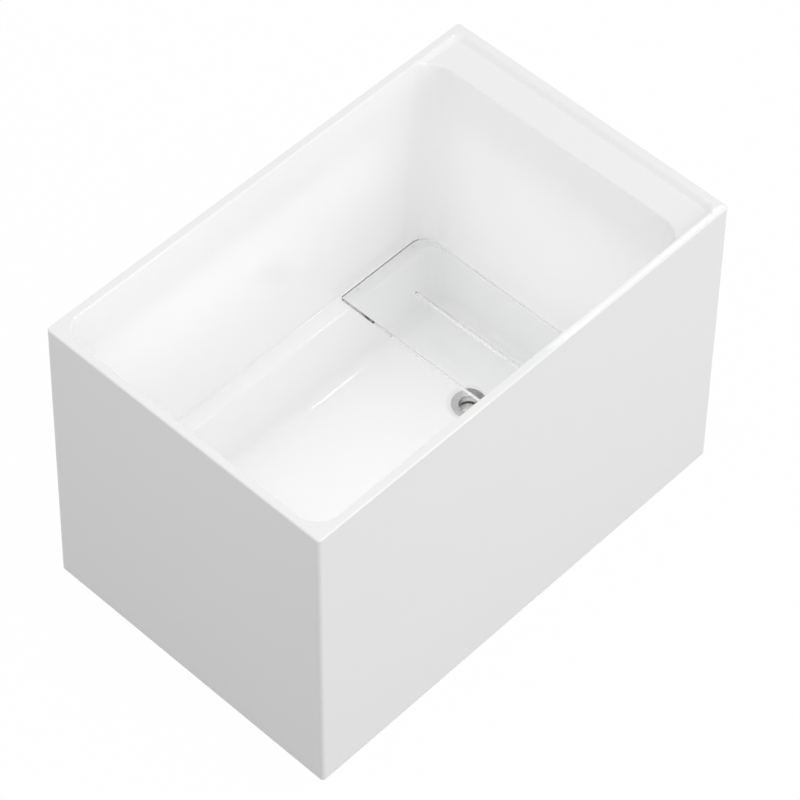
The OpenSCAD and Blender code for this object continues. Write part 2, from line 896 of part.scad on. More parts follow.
// Clear board that lies on the ledges, with a long slot for the water
module seat_board() {
    color(clear) translate([0, 0, seat_z]) linear_extrude(seat_board_t) difference() {
        union() {
            round_plate(seat_front_x, seat_back_x, seat_half_width, seat_back_corner);
            round_plate(seat_front_x, seat_back_x - seat_depth / 2, seat_half_width,
                seat_front_corner);
        }
        translate([slot_x - slot_width / 2, -(slot_length - slot_width) / 2])
            square([slot_width, slot_length - slot_width]);
        for (side = both) {
            translate([slot_x, side * (slot_length - slot_width) / 2])
                circle(r = slot_width / 2, $fn = round_fn);
        }
    }
}

// Four soft pads between the board and the ledges
module seat_bumpers() {
    color(clear) for (x = [seat_front_x + bumper_inset, seat_back_x - bumper_inset]) {
        for (side = both) {
            translate([x, side * bumper_y, ledge_z])
                cylinder(r = bumper_r, h = bumper_t, $fn = round_fn);
        }
    }
}

basin_shell();
basin_backing();
outer_skirt();
skirt_backing();
rim_bond();
deck_board();
floor_board();
frame_long_rails();
frame_cross_rails();
side_brackets();
end_brackets();
bracket_screws();
floor_screws();
foot_bushes();
foot_lock_nuts();
foot_stud_1();
foot_stud_2();
foot_stud_3();
foot_stud_4();
foot_pad_1();
foot_pad_2();
foot_pad_3();
foot_pad_4();
drain_body();
drain_top_gasket();
drain_bottom_gasket();
drain_slip_ring();
drain_nut();
tail_pipe();
tail_washer();
tail_union_nut();
plug_cap();
plug_seal();
plug_stem();
plug_spring();
plug_cartridge();
cartridge_cap();
seat_board();
seat_bumpers();
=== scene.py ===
"""Deep soaking tub: the finished surfaces, built round the tub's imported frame.

Lengths are in metres. Angles are in degrees up to the call that takes radians.
"""

import json
import math

import bmesh
import bpy
from bpy.props import FloatProperty, FloatVectorProperty, IntProperty, PointerProperty
from mathutils import Matrix, Vector


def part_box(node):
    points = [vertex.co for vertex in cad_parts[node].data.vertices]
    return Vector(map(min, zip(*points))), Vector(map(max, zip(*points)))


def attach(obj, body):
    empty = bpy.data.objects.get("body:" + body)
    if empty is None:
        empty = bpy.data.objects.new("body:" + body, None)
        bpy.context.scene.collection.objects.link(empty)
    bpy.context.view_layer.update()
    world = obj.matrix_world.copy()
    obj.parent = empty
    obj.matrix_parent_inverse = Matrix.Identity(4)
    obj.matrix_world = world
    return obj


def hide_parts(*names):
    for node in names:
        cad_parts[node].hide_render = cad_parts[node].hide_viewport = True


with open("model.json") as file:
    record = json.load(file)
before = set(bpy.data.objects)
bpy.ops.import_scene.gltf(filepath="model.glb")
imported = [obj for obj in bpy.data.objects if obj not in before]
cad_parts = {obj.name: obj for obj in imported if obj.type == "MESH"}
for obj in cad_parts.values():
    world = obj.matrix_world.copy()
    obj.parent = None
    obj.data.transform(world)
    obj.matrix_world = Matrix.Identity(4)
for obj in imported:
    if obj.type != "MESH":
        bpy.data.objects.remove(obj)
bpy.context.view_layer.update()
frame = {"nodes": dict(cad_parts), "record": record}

bl_info = {
    "name": "Soaking Tub",
    "version": (1, 0, 0),
    "blender": (4, 5, 0),
    "location": "View3D > Sidebar > Tub",
    "description": "Builds the visible surfaces of a deep soaking tub with a clear seat board",
    "category": "Add Mesh",
}

MM = 0.001
SHELL_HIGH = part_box("basin_shell")[1]
SKIRT_LOW, SKIRT_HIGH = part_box("outer_skirt")
SEAT_LOW, SEAT_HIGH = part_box("seat_board")
DRAIN_LOW, DRAIN_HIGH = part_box("drain_body")
CAP_LOW, CAP_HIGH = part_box("plug_cap")
LATCH_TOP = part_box("plug_cartridge")[1].z
RIM_Z = SHELL_HIGH.z
RIM_HALF = Vector((SHELL_HIGH.x, SHELL_HIGH.y))
DRAIN_AXIS = (DRAIN_LOW + DRAIN_HIGH) / 2
FLOOR_Z = DRAIN_HIGH.z

# The basin is cut from a block whose foot lies under the floor, by blocks that stand up past it.
BLOCK_FOOT_Z = FLOOR_Z - 0.03
OVERCUT = 0.02

# Camera: focal length in mm, bearing from the front, height above level, roll, and what it faces.
LENS = 162.3
BEARING, ELEVATION, ROLL = -47.437, 50.958, 1.388
DISTANCE = 6.988
TARGET = Vector((0.0231, -0.0044, 0.330))

# Lamps: name, place, point faced, width, depth, watts, and the rays that don't see the lamp.
LAMPS = (
    ("top_light", (0.0, 0.0, 4.5), (0.0, 0.0, 0.0), 5.0, 5.0, 27, ["glossy"]),
    ("edge_light", (2.35, -0.68, 4.5), (0.0, 0.0, 0.5), 0.3, 0.2, 7, ["diffuse"]),
    ("rim_light", (2.3, 1.35, 4.5), (2.3, 1.35, 0.0), 2.6, 0.6, 14, ["diffuse"]),
    ("side_light", (0.9, -5.0, 1.5), (0.0, 0.0, 0.4), 3.0, 3.0, 74, []),
    ("end_light", (-1.6, 0.0, 1.3), (-0.555, 0.0, 0.62), 0.8, 0.8, 1.15, ["camera", "glossy"]),
    (
        "basin_fill", (-0.09, 0.0, 0.65), (-0.09, 0.0, 0.0), 0.8, 0.5, 0.41,
        ["camera", "glossy", "transmission"],
    ),
)
SKY_LIGHT = 0.72

# Floor: side length, its grey where it lights the tub and where it is seen, and its glow there.
FLOOR_SIZE = 40
FLOOR_GREY, FLOOR_SEEN = (0.25, 0.25, 0.25), (0.9, 0.9, 0.9)
FLOOR_GLOW = 0.98
WHITE = (1.0, 1.0, 1.0)


def size(name, mm, text):
    """A length that a user can change, given here in millimetres."""
    return FloatProperty(
        name=name, description=text, default=mm * MM, min=0.0, max=2.0, unit="LENGTH", precision=4
    )


def tint(name, rgb, text):
    """A colour that a user can change."""
    return FloatVectorProperty(
        name=name, description=text, default=rgb, size=3, min=0.0, max=1.0, subtype="COLOR"
    )


def share(name, value, text, high=1.0):
    """A plain factor that a user can change."""
    return FloatProperty(
        name=name, description=text, default=value, min=0.0, max=high, subtype="FACTOR"
    )


class TubShape(bpy.types.PropertyGroup):
    """Sizes of the acrylic mouldings."""

    rim_width: size("Rim width", 18.5, "Rim along both long sides and the plain end")
    deck_width: size("Deck width", 100, "Outer edge to the basin at the deck end")
    deck_lip: size("Deck lip", 20, "Raised lip at the outer edge of the deck")
    deck_drop: size("Deck drop", 10, "Depth of the deck below the rim")
    deck_slope: size("Deck slope", 6, "Run of the slope between lip and deck")
    deck_soft: size("Deck softness", 3, "How far the deck's slope runs out into its neighbours")
    deck_corner: size("Deck corner", 18, "Plan radius of the deck's outer corners")
    ledge_z: size("Ledge height", 290, "Height of the ledges above the ground")
    side_ledge: size("Side ledge", 38, "Width of the ledge along each long side")
    end_ledge: size("End ledge", 13, "Width of the ledge at each end")
    side_lean: size("Side lean", 40, "Inward lean of each long wall down to the ledge")
    end_lean: size("End lean", 51, "Inward lean of each end wall down to the ledge")
    well_side_lean: size("Well side lean", 28, "Inward lean of the well's long faces")
    well_end_lean: size("Well end lean", 4, "Inward lean of the well's end faces")
    rim_corner: size("Basin corner", 50, "Plan radius of the basin's corners at the rim")
    well_corner: size("Well corner", 30, "Plan radius of the well's corners")
    outer_corner: size("Outer corner", 8, "Radius of the upright outer corners")
    floor_round: size("Floor round", 25, "Radius between the well's faces and its floor")
    fold_round: size("Fold round", 4, "Radius where the walls meet the ledge")
    edge_round: size("Edge round", 4, "Radius of the rim, deck and ledge edges")
    roll_depth: size("Rim roll", 4, "Height of the rim's outer edge above the skirt")
    sheet: size("Sheet", 3.8, "Thickness of the acrylic sheet")
    hollow_r: size("Drain hollow", 46, "Radius of the shallow hollow round the drain")
    hollow_flat: size("Hollow flat", 40, "Radius of that hollow's flat bottom")
    hollow_depth: size("Hollow depth", 3.2, "Depth of that hollow")
    hollow_round: size("Hollow round", 2.4, "Radius of that hollow's edges")
    floor_hole: size("Floor hole", 25.5, "Radius of the hole under the drain flange")


class SeatShape(bpy.types.PropertyGroup):
    """Sizes of the clear seat board."""

    back_corner: size("Back corners", 36, "Radius of the two back corners")
    front_corner: size("Front corners", 3, "Radius of the two front corners")
    edge_round: size("Edge round", 0.9, "Radius of the polished edges")
    slot_width: size("Slot width", 5, "Width of the water slot")
    slot_length: size("Slot length", 362, "Length of the water slot")
    slot_setback: size("Slot setback", 114, "Front edge to the middle of the slot")


class DrainShape(bpy.types.PropertyGroup):
    """Sizes of the drain flange and its plug."""

    land: size("Land", 3, "Width of the flange's flat outer rim")
    throat_r: size("Throat", 20, "Radius of the throat")
    body_wall: size("Body wall", 3.5, "Wall of the threaded body")
    seat_depth: size("Plug seat depth", 26, "Depth of the plug's seat under the floor")
    seat_width: size("Plug seat width", 6, "Width of the plug's seat")
    seat_ring: size("Plug seat thickness", 3, "Thickness of the plug's seat")
    hub_bore: size("Hub bore", 8.05, "Bore that holds the latch housing")
    hub_wall: size("Hub wall", 2.95, "Wall of the hub round the latch housing")
    bridge_height: size("Bridge height", 12, "Height of the hub and its three arms")
    bridge_set: size("Bridge set", 2, "Top of the latch housing above the bridge")
    arm_width: size("Arm width", 3, "Width of each arm of the bridge")
    steps: IntProperty(name="Steps", description="Segments round the drain", default=96, min=24)


class TubFinish(bpy.types.PropertyGroup):
    """Colours and gloss of the finishes."""

    acrylic: tint("Acrylic", (0.965, 0.965, 0.965), "White of the acrylic")
    acrylic_gloss: share("Acrylic roughness", 0.02, "Roughness of the acrylic")
    clear: tint("Clear board", (0.965, 0.97, 0.97), "Tint of the clear board")
    clear_ior: share("Clear board IOR", 1.49, "Refraction of the clear board", 3.0)
    clear_shade: tint("Board's shade", (0.965, 0.965, 0.965), "Light that the board lets through")
    # Painted reflection: the dim grey plate that the drain mirrors in place of the clear board's
    # underside.
    clear_painted_reflection: tint("Board in mirrors", (0.42, 0.42, 0.42), "The board mirrored in the drain")
    # The board's ends, seen from inside through its top, are drawn as near-black lines.
    clear_ends: tint("Board's ends", (0.03, 0.03, 0.03), "The board's ends seen through its top")
    metal: tint("Polished metal", (0.60, 0.60, 0.61), "Colour of the drain")
    metal_gloss: share("Metal roughness", 0.12, "Roughness of the drain")
    # Satin roughness with a paler colour: the paler colour is painted light that lightens the shade
    # in the throat and on the plug.
    satin: tint("Satin metal", (0.74, 0.74, 0.73), "Colour in the throat and on the plug")
    satin_gloss: share("Satin roughness", 0.24, "Least roughness in the throat and on the plug")
    resin: tint("Resin", (0.60, 0.56, 0.42), "Resin of the layer behind the acrylic")
    strand: tint("Strands", (0.80, 0.78, 0.68), "Glass strands in that layer")
    wood: tint("Wood", (0.58, 0.40, 0.22), "Pale grain of the boards")
    wood_dark: tint("Dark wood", (0.34, 0.20, 0.09), "Dark grain and glue lines of the boards")
    paint: tint("Frame paint", (0.42, 0.44, 0.45), "Paint of the steel frame")
    plating: tint("Zinc plating", (0.66, 0.66, 0.64), "Plating of screws, nuts, studs and spring")
    brass: tint("Brass", (0.72, 0.53, 0.25), "Brass of the drain nut and the plug's stem")
    rubber: tint("Rubber", (0.025, 0.025, 0.025), "Rubber of the foot pads and gaskets")
    seal: tint("Seal", (0.5, 0.5, 0.49), "Rubber of the plug's seal")
    pads: tint("Seat pads", (0.98, 0.98, 0.98), "Clear rubber under the seat board")
    plastic: tint("Plastic", (0.80, 0.80, 0.79), "Plastic of the pipe, nut and latch housing")


# ---------------------------------------------------------------- modelling helpers


def only(obj):
    """Makes obj the one selected and active object."""
    bpy.ops.object.select_all(action="DESELECT")
    obj.select_set(True)
    bpy.context.view_layer.objects.active = obj


def primitive(name, kind, **values):
    """A new primitive, alone selected, with its place and size in its mesh."""
    bpy.ops.object.select_all(action="DESELECT")
    getattr(bpy.ops.mesh, f"primitive_{kind}_add")(**values)
    bpy.ops.object.transform_apply(location=True, rotation=True, scale=True)
    bpy.context.object.name = name
    return bpy.context.object


def block(name, low, high):
    """A box between two corners."""
    low, high = Vector(low), Vector(high)
    return primitive(name, "cube", size=1, location=(low + high) / 2, scale=high - low)


def edit(obj, kind):
    """Opens obj in edit mode, ready to pick parts of one kind: VERT, EDGE or FACE."""
    only(obj)
    bpy.ops.object.mode_set(mode="EDIT")
    bpy.ops.mesh.select_mode(type=kind)
    bpy.ops.mesh.select_all(action="DESELECT")


def edit_all(obj, kind="VERT"):
    """Opens obj in edit mode with all of it selected."""
    edit(obj, kind)
    bpy.ops.mesh.select_all(action="SELECT")


def pick(obj, kind, test):
    """Selects the parts of obj that pass a test, in edit mode."""
    edit(obj, kind)
    mesh = bmesh.from_edit_mesh(obj.data)
    parts = {"VERT": mesh.verts, "EDGE": mesh.edges, "FACE": mesh.faces}[kind]
    found = [part for part in parts if test(part)]
    for part in found:
        part.select_set(True)
    bmesh.update_edit_mesh(obj.data)
    if not found:
        raise RuntimeError(f"{obj.name}: nothing was picked")


def done():
    """Leaves edit mode."""
    bpy.ops.object.mode_set(mode="OBJECT")


def near(a, b, slack=1e-5):
    """Whether two lengths are the same to within a slack."""
    return abs(a - b) < slack


def upright(edge):
    """Whether an edge runs up between two heights."""
    a, b = (v.co for v in edge.verts)
    return abs(a.z - b.z) > 0.5 * (a - b).length


def at_height(z):
    """A test for parts whose corners all lie at a height."""
    return lambda part: all(near(v.co.z, z) for v in part.verts)


def round_edges(obj, test, radius, steps):
    """Rounds the edges of obj that pass a test."""
    pick(obj, "EDGE", test)
    bpy.ops.mesh.bevel(
        offset=radius, offset_type="OFFSET", segments=steps, profile=0.5, affect="EDGES",
        clamp_overlap=False,
    )
    done()


def remove_faces(obj, test):
    """Deletes the faces of obj that pass a test."""
    pick(obj, "FACE", test)
    bpy.ops.mesh.delete(type="FACE")
    done()


def taper(obj, z, factors, middle_x=0.0):
    """Scales the corners of obj at one height about an upright line over the tub's length."""
    pick(obj, "VERT", lambda v: near(v.co.z, z))
    bpy.ops.transform.resize(value=(*factors, 1.0), center_override=(middle_x, 0.0, z))
    done()


def shift(obj, z, move):
    """Moves the corners of obj at one height."""
    pick(obj, "VERT", lambda v: near(v.co.z, z))
    bpy.ops.transform.translate(value=move)
    done()


def tapered_block(name, top, foot, steps, radius):
    """A block whose four sides lean. top and foot are (x0, x1, y, z), y being half the width."""
    obj = block(name, (top[0], -top[2], foot[3]), (top[1], top[2], top[3]))
    middle_x = (top[0] + top[1]) / 2
    offset = (foot[0] + foot[1]) / 2 - middle_x
    factors = ((foot[1] - foot[0]) / (top[1] - top[0]), foot[2] / top[2])
    taper(obj, foot[3], factors, middle_x)
    if not near(offset, 0.0, 1e-6):
        shift(obj, foot[3], (offset, 0.0, 0.0))
    round_edges(obj, upright, radius, steps)
    return obj


def quarter(obj):
    """Splits obj's faces along its two upright middle planes, so a cut leaves no holed face."""
    middle = sum((v.co for v in obj.data.vertices), Vector()) / len(obj.data.vertices)
    for normal in ((1.0, 0.0, 0.0), (0.0, 1.0, 0.0)):
        edit_all(obj, "FACE")
        bpy.ops.mesh.bisect(plane_co=(middle.x, 0.0, middle.z), plane_no=normal)
        done()
    return obj


def finish_modifier(obj, kind, **values):
    """Adds a modifier, sets it and applies it."""
    only(obj)
    modifier = obj.modifiers.new(kind.lower(), kind)
    for key, value in values.items():
        setattr(modifier, key, value)
    bpy.ops.object.modifier_apply(modifier=modifier.name)


def combine(obj, tool, operation="DIFFERENCE"):
    """Takes a solid out of obj, or adds it with UNION, and deletes the solid."""
    finish_modifier(obj, "BOOLEAN", operation=operation, solver="EXACT", object=tool)
    bpy.data.objects.remove(tool)


def lathe(name, profile, steps):
    """A turned piece: a profile of (radius, height) spun round the drain's axis.

    The profile starts and ends on the axis, or else is closed to a ring.
    """
    start = (DRAIN_AXIS.x + profile[0][0], DRAIN_AXIS.y, profile[0][1])
    obj = primitive(name, "plane", size=0.001, location=start)
    edit_all(obj)
    bpy.ops.mesh.merge(type="CENTER")
    if profile[0][0] > 0:
        profile = [*profile, profile[0]]
    for (r0, z0), (r1, z1) in zip(profile, profile[1:]):
        bpy.ops.mesh.extrude_region_move(
            TRANSFORM_OT_translate={"value": (r1 - r0, 0.0, z1 - z0)}
        )
    bpy.ops.mesh.select_all(action="SELECT")
    bpy.ops.mesh.spin(
        steps=steps, angle=math.tau, center=DRAIN_AXIS, axis=(0.0, 0.0, 1.0)
    )
    bpy.ops.mesh.select_all(action="SELECT")
    bpy.ops.mesh.remove_doubles(threshold=1e-6)
    bpy.ops.mesh.normals_make_consistent(inside=False)
    done()
    return obj


def arc(centre, radius, start, end, steps):
    """Points of a round stretch of a profile, angles in degrees from the radius direction."""
    angles = [math.radians(start + (end - start) * i / steps) for i in range(steps + 1)]
    return [(centre[0] + radius * math.cos(a), centre[1] + radius * math.sin(a)) for a in angles]


def smooth(obj, degrees=40, weighted=True):
    """Smooth shading that keeps folds sharper than an angle and large flats flat."""
    only(obj)
    bpy.ops.object.shade_smooth_by_angle(angle=math.radians(degrees))
    if weighted:
        finish_modifier(obj, "WEIGHTED_NORMAL", mode="FACE_AREA", weight=100, keep_sharp=True)


def dress(obj, material, slot, body, *nodes):
    """Gives a piece its material and its body, and hides the frame's nodes that it stands for."""
    obj.data.materials.clear()
    obj.data.materials.append(material)
    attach(obj, body)
    if nodes:
        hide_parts(*nodes)


# ---------------------------------------------------------------- sizes that follow from others


def outline_at(z):
    """The tub's outer faces at a height, on the skirt's slope: x0, x1, half width, z."""
    foot = Vector((SKIRT_HIGH.x, SKIRT_HIGH.y))
    t = (RIM_Z - z) / (RIM_Z - SKIRT_LOW.z)
    half = RIM_HALF + (foot - RIM_HALF) * t
    return (-half.x, half.x, half.y, z)


def wall_outline(shape, z):
    """The basin's inner faces above the ledge at a height: x0, x1, half width, z."""
    t = (RIM_Z - z) / (RIM_Z - shape.ledge_z)
    deck_z = RIM_Z - shape.deck_drop
    end_slope = shape.end_lean / (RIM_Z - shape.ledge_z)
    return (
        shape.rim_width - RIM_HALF.x + shape.end_lean * t,
        RIM_HALF.x - shape.deck_width - end_slope * (deck_z - z),
        RIM_HALF.y - shape.rim_width - shape.side_lean * t,
        z,
    )


def well_outline(shape, z):
    """The well's inner faces below the ledge at a height: x0, x1, half width, z."""
    t = (shape.ledge_z - z) / (shape.ledge_z - FLOOR_Z)
    x0, x1, y, _ = wall_outline(shape, shape.ledge_z)
    end = shape.end_ledge + shape.well_end_lean * t
    return (x0 + end, x1 - end, y - shape.side_ledge - shape.well_side_lean * t, z)


# ---------------------------------------------------------------- materials

# A Mix node's sockets for colours, and a wave texture's scale for one turn in a metre.
FIRST_COLOR, SECOND_COLOR, MIXED_COLOR = 6, 7, 2
WAVE_PER_METRE = 0.314


def feed(tree, socket, value):
    """Links an output into a socket, or sets the socket to a number or a colour."""
    if isinstance(value, bpy.types.NodeSocket):
        tree.links.new(value, socket)
    elif socket.type == "RGBA":
        socket.default_value = (*value, 1.0)
    else:
        socket.default_value = value


def fed(tree, kind, output, values):
    """The output of a new node whose inputs are fed by name."""
    node = tree.nodes.new(kind)
    for name, value in values.items():
        feed(tree, node.inputs[name], value)
    return node.outputs[output]


def noise(tree, vector, scale, detail=3.0, roughness=0.5, distortion=0.0):
    """The value of a noise texture at a place."""
    values = {"Vector": vector, "Scale": scale, "Detail": detail}
    values |= {"Roughness": roughness, "Distortion": distortion}
    return fed(tree, "ShaderNodeTexNoise", "Fac", values)


def span(tree, value, low, high, start=0.0, end=1.0):
    """A value mapped from start..end to low..high."""
    values = {"Value": value, "From Min": start, "From Max": end, "To Min": low, "To Max": high}
    return fed(tree, "ShaderNodeMapRange", "Result", values)


def stretched(tree, vector, factors, turn=(0.0, 0.0, 0.0)):
    """A place turned, and scaled along each axis, so that a pattern runs along the piece."""
    values = {"Vector": vector, "Rotation": turn, "Scale": factors}
    return fed(tree, "ShaderNodeMapping", "Vector", values)


def parts_of(tree, vector):
    """The X, Y and Z of a place or a direction."""
    return fed(tree, "ShaderNodeSeparateXYZ", "X", {"Vector": vector}).node.outputs


def calc(tree, operation, *values):
    """The result of a math node on numbers or outputs."""
    node = tree.nodes.new("ShaderNodeMath")
    node.operation = operation
    for socket, value in zip(node.inputs, values):
        feed(tree, socket, value)
    return node.outputs[0]


def chain(tree, operation, first, *others):
    """One math operation over any number of values, one after the other."""
    for value in others:
        first = calc(tree, operation, first, value)
    return first


def mixed(tree, factor, first, second, blend="MIX"):
    """Two colours, mixed or multiplied by a factor."""
    node = tree.nodes.new("ShaderNodeMix")
    node.data_type = "RGBA"
    node.blend_type = blend
    feed(tree, node.inputs["Factor"], factor)
    feed(tree, node.inputs[FIRST_COLOR], first)
    feed(tree, node.inputs[SECOND_COLOR], second)
    return node.outputs[MIXED_COLOR]


def either(tree, factor, first, second):
    """The first shader where the factor is 0, and the second where it is 1."""
    node = tree.nodes.new("ShaderNodeMixShader")
    for socket, value in zip(node.inputs, (factor, first, second)):
        tree.links.new(value, socket)
    return node.outputs["Shader"]


def bump(tree, height, strength, depth, shader):
    """A bump from a height into the shader's normal."""
    values = {"Height": height, "Strength": strength, "Distance": depth}
    normal = fed(tree, "ShaderNodeBump", "Normal", values)
    tree.links.new(normal, shader.inputs["Normal"])
    return normal.node


def effect(**inputs):
    """Makes a function that builds colour, roughness and height into one that gives a node group.

    The group takes a place and the named inputs with their defaults, and is built once.
    """

    def wrap(build):
        def group_of():
            found = bpy.data.node_groups.get(build.__name__)
            if found:
                return found
            group = bpy.data.node_groups.new(build.__name__, "ShaderNodeTree")
            add = group.interface.new_socket
            add("Vector", in_out="INPUT", socket_type="NodeSocketVector")
            for name, value in inputs.items():
                color = isinstance(value, tuple)
                kind = "NodeSocketColor" if color else "NodeSocketFloat"
                socket = add(name, in_out="INPUT", socket_type=kind)
                socket.default_value = (*value, 1.0) if color else value
            for name, kind in (("Color", "Color"), ("Roughness", "Float"), ("Height", "Float")):
                add(name, in_out="OUTPUT", socket_type=f"NodeSocket{kind}")
            results = build(group, group.nodes.new("NodeGroupInput").outputs)
            for value, socket in zip(results, group.nodes.new("NodeGroupOutput").inputs):
                group.links.new(value, socket)
            return group

        return group_of

    return wrap


@effect(Color=(0.9, 0.9, 0.9), Roughness=0.08, Spread=0.03)
def moulded_gloss(group, ins):
    """Faint unevenness of a moulded sheet, with a slow ripple."""
    place = ins["Vector"]
    shade = span(group, noise(group, place, scale=3.0, detail=2.0), low=0.985, high=1.0)
    film = noise(group, place, scale=14.0, detail=4.0, roughness=0.6)
    color = mixed(group, 1.0, ins["Color"], shade, "MULTIPLY")
    rough = calc(group, "MULTIPLY_ADD", film, ins["Spread"], ins["Roughness"])
    return color, rough, noise(group, place, scale=55.0, detail=1.0)


@effect(Resin=(0.6, 0.56, 0.42), Strand=(0.8, 0.78, 0.68))
def chopped_strands(group, ins):
    """Short glass strands laid every way in resin."""
    place = ins["Vector"]
    layers = []
    for turn in (0.35, 1.4, 2.5):
        turned = stretched(group, place, (40.0, 420.0, 420.0), (turn, 0.6 * turn, 1.3 * turn))
        strands = noise(group, turned, scale=1.0, detail=1.0)
        layers.append(span(group, strands, low=0.0, high=1.0, start=0.56, end=0.66))
    pools = noise(group, place, scale=9.0)
    wet = span(group, pools, low=0.25, high=0.85)
    shown = calc(group, "MULTIPLY", chain(group, "MAXIMUM", *layers), wet)
    color = mixed(group, shown, ins["Resin"], ins["Strand"])
    height = calc(group, "MULTIPLY_ADD", pools, 1.5, shown)
    return color, span(group, shown, low=0.3, high=0.75), height


@effect(Pale=(0.58, 0.4, 0.22), Dark=(0.34, 0.2, 0.09), Ply=0.002)
def plywood_grain(group, ins):
    """Wood grain along the board, with its plies on the edges."""
    place = ins["Vector"]
    along = stretched(group, place, (3.0, 45.0, 20.0))
    rings = noise(group, along, scale=1.0, detail=4.0, roughness=0.6, distortion=1.2)
    pores = noise(group, stretched(group, place, (60.0, 1500.0, 900.0)), scale=1.0, detail=2.0)
    layer = calc(group, "DIVIDE", parts_of(group, place)["Z"], ins["Ply"])
    across = calc(group, "PINGPONG", layer, 1.0)
    glue = span(group, across, low=0.0, high=1.0, start=0.86, end=0.96)
    ringed = span(group, rings, low=0.0, high=0.75, start=0.35, end=0.7)
    dark = calc(group, "MULTIPLY_ADD", pores, 0.25, ringed)
    dark = calc(group, "MULTIPLY_ADD", glue, 0.35, dark)
    dark.node.use_clamp = True
    color = mixed(group, dark, ins["Pale"], ins["Dark"])
    return color, span(group, pores, low=0.55, high=0.8), pores


@effect(Color=(0.5, 0.5, 0.5), Roughness=0.4, Grain=600.0, Patches=25.0, Contrast=0.2)
def worked_surface(group, ins):
    """Fine grit and cloudy patches of paint, plating, rubber and plastic."""
    patches = noise(group, ins["Vector"], ins["Patches"], detail=4.0, roughness=0.6)
    grit = noise(group, ins["Vector"], ins["Grain"], detail=2.0)
    shade = calc(group, "MULTIPLY", patches, ins["Contrast"])
    bright = calc(group, "SUBTRACT", 1.0, shade)
    value = calc(group, "MULTIPLY", bright, span(group, grit, low=0.94, high=1.04))
    rough = calc(group, "MULTIPLY_ADD", patches, 0.2, ins["Roughness"])
    return mixed(group, 1.0, ins["Color"], value, "MULTIPLY"), rough, grit


def any_ray(tree, *rays):
    """1 for the kinds of ray that are named."""
    path = tree.nodes.new("ShaderNodeLightPath").outputs
    return chain(tree, "MAXIMUM", *(path[ray] for ray in rays))


def seen_directly(tree):
    """1 where the camera sees a surface straight on, mirrored or through clear material."""
    return any_ray(tree, "Is Camera Ray", "Is Glossy Ray", "Is Transmission Ray")


def blank_material(name):
    """A new material with Object coordinates."""
    material = bpy.data.materials.new(name)
    material.use_nodes = True
    material.node_tree.nodes.new("ShaderNodeTexCoord")
    return material


def opened(material):
    """A material's tree, its Object coordinates and its shader."""
    tree = material.node_tree
    place = tree.nodes["Texture Coordinate"].outputs["Object"]
    return tree, place, tree.nodes["Principled BSDF"]


def show(tree, surface):
    """Makes a shader the one that the tree's material shows."""
    tree.links.new(surface, tree.nodes["Material Output"].inputs["Surface"])


def surface_material(name, group, values, metallic=0.0, strength=0.1, depth=0.0005):
    """A material whose colour, roughness and bump come from one node group."""
    material = blank_material(name)
    tree, place, shader = opened(material)
    node = tree.nodes.new("ShaderNodeGroup")
    node.node_tree = group
    for key, value in {"Vector": place, **values}.items():
        feed(tree, node.inputs[key], value)
    tree.links.new(node.outputs["Color"], shader.inputs["Base Color"])
    tree.links.new(node.outputs["Roughness"], shader.inputs["Roughness"])
    shader.inputs["Metallic"].default_value = metallic
    bump(tree, node.outputs["Height"], strength, depth, shader)
    return material


def gloss_material(name, color, roughness, spread=0.02, metallic=0.0, ripple=0.02):
    """A moulded or polished surface with the faint unevenness of the real one."""
    values = {"Color": color, "Roughness": roughness, "Spread": spread}
    return surface_material(name, moulded_gloss(), values, metallic, ripple, depth=0.001)


def acrylic_material(finish):
    """Glossy white acrylic."""
    return gloss_material("gloss_acrylic", finish.acrylic, finish.acrylic_gloss)


def metal_material(finish):
    """Polished metal, with a satin finish inside the throat and on the plug, painted paler there as
    painted light against the throat's shade.
    """
    material = gloss_material(
        "polished_drain", finish.metal, finish.metal_gloss, spread=0.05, metallic=1.0, ripple=0.01
    )
    tree, place, shader = opened(material)
    color, rough = shader.inputs["Base Color"], shader.inputs["Roughness"]
    satin_depth = 0.004
    deep = calc(tree, "LESS_THAN", parts_of(tree, place)["Z"], DRAIN_HIGH.z - satin_depth)
    satin = calc(tree, "MULTIPLY", deep, finish.satin_gloss)
    tree.links.new(calc(tree, "MAXIMUM", rough.links[0].from_socket, satin), rough)
    # Painted light: the paler satin colour lightens the shade in the throat and on the plug.
    tree.links.new(mixed(tree, deep, color.links[0].from_socket, finish.satin), color)
    return material


def hazy_material(name, color, ior, scale, detail, low, high):
    """A clear material whose roughness varies between two values."""
    material = blank_material(name)
    tree, place, shader = opened(material)
    haze = noise(tree, place, scale, detail)
    feed(tree, shader.inputs["Base Color"], color)
    feed(tree, shader.inputs["Roughness"], span(tree, haze, low, high))
    shader.inputs["IOR"].default_value = ior
    shader.inputs["Transmission Weight"].default_value = 1.0
    return material


def see_through(tree, factor, surface, color):
    """A surface that gives way to a tint of what lies behind it where the factor is 1."""
    behind = fed(tree, "ShaderNodeBsdfTransparent", "BSDF", {"Color": color})
    return either(tree, factor, surface, behind)


